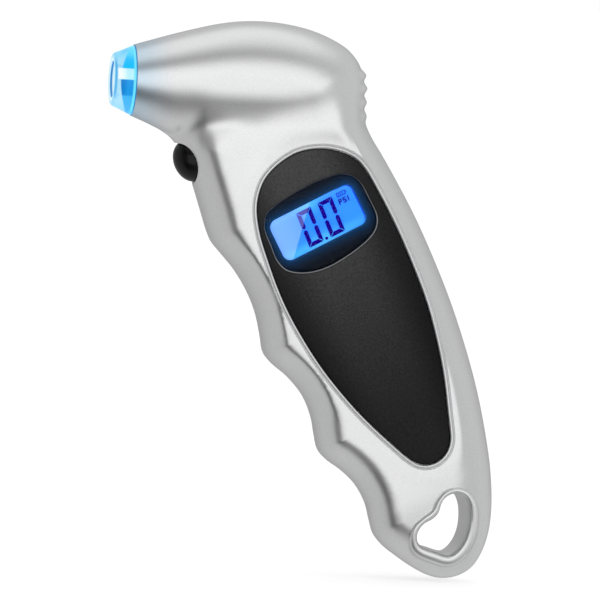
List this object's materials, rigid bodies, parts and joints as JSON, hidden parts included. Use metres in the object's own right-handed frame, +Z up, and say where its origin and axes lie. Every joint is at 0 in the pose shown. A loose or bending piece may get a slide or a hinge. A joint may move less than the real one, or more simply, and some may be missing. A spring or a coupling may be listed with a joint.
{
  "type": "digital tyre pressure gauge",
  "caption": "Pistol-grip digital tyre pressure gauge with a lit valve nozzle, a black teardrop display panel, a side power button and a heart-shaped lanyard hole.",
  "frame": {"origin": "centre of the nozzle's mouth, where the tyre valve enters", "axes": "-X out of the nozzle's mouth, +Z up along the upright gauge, -Y out of the display's face; the two shells part on y = 0"},
  "size_m": [0.1092, 0.0262, 0.1472],
  "materials": {
    "shell_silver": "satin silver metallic paint over plastic",
    "fascia_black": "fine-grained satin black",
    "window_clear": "clear polished",
    "lcd_blue": "backlit blue",
    "light_guide": "translucent white",
    "led_resin": "clear resin",
    "board_green": "solder-masked glass fibre",
    "inner_black": "moulded",
    "component_tan": "fired",
    "screw_steel": "zinc plated",
    "button_black": "polished",
    "plunger_red": "moulded",
    "nozzle_blue": "translucent, lit blue",
    "rubber_black": "moulded",
    "rubber_pink": "layered",
    "brass": "turned",
    "sensor_white": "matt",
    "lead_grey": "insulated",
    "lead_red": "insulated",
    "cell_steel": "pressed",
    "contact_nickel": "nickel plated"
  },
  "bodies": {
    "housing": {"front_shell": "shell_silver", "rear_shell": "shell_silver", "fascia": "fascia_black", "lcd_window": "window_clear", "lcd_frame": "inner_black", "lcd_glass": "lcd_blue", "lcd_connector": "rubber_pink", "backlight_panel": "light_guide", "backlight_leds": "led_resin", "circuit_board": "board_green", "controller_blob": "inner_black", "board_components": "component_tan", "board_screws": "screw_steel", "housing_screws": "screw_steel", "switch_body": "inner_black", "nozzle_tip": "nozzle_blue", "valve_seal": "rubber_black", "core_pin": "brass", "air_manifold": "inner_black", "sensor_seal": "rubber_black", "pressure_sensor": "sensor_white", "sensor_leads": "lead_grey", "nozzle_led": "led_resin", "led_leads": "lead_red", "battery_tray": "inner_black", "coin_cell": "cell_steel", "coin_contacts": "contact_nickel", "button_cells": "cell_steel", "cell_contacts": "contact_nickel", "battery_leads": "lead_red"},
    "button": {"power_button": "button_black"},
    "switch_stem": {"switch_plunger": "plunger_red"},
    "battery_cover": {"battery_door": "shell_silver", "door_screw": "screw_steel"}
  },
  "joints": [
    {"name": "button_press", "type": "slide", "parent": "housing", "child": "button", "axis": [0.8996, 0, 0.4368], "range_m": [0, 0.0005]},
    {"name": "switch_press", "type": "slide", "parent": "housing", "child": "switch_stem", "axis": [0.8996, 0, 0.4368], "range_m": [0, 0.0005]},
    {"name": "battery_cover_lift", "type": "slide", "parent": "housing", "child": "battery_cover", "axis": [0, 1, 0], "range_m": [0, 0.02]}
  ],
  "couplings": [
    {"joint": "switch_press", "follows": "button_press", "ratio": 1}
  ]
}
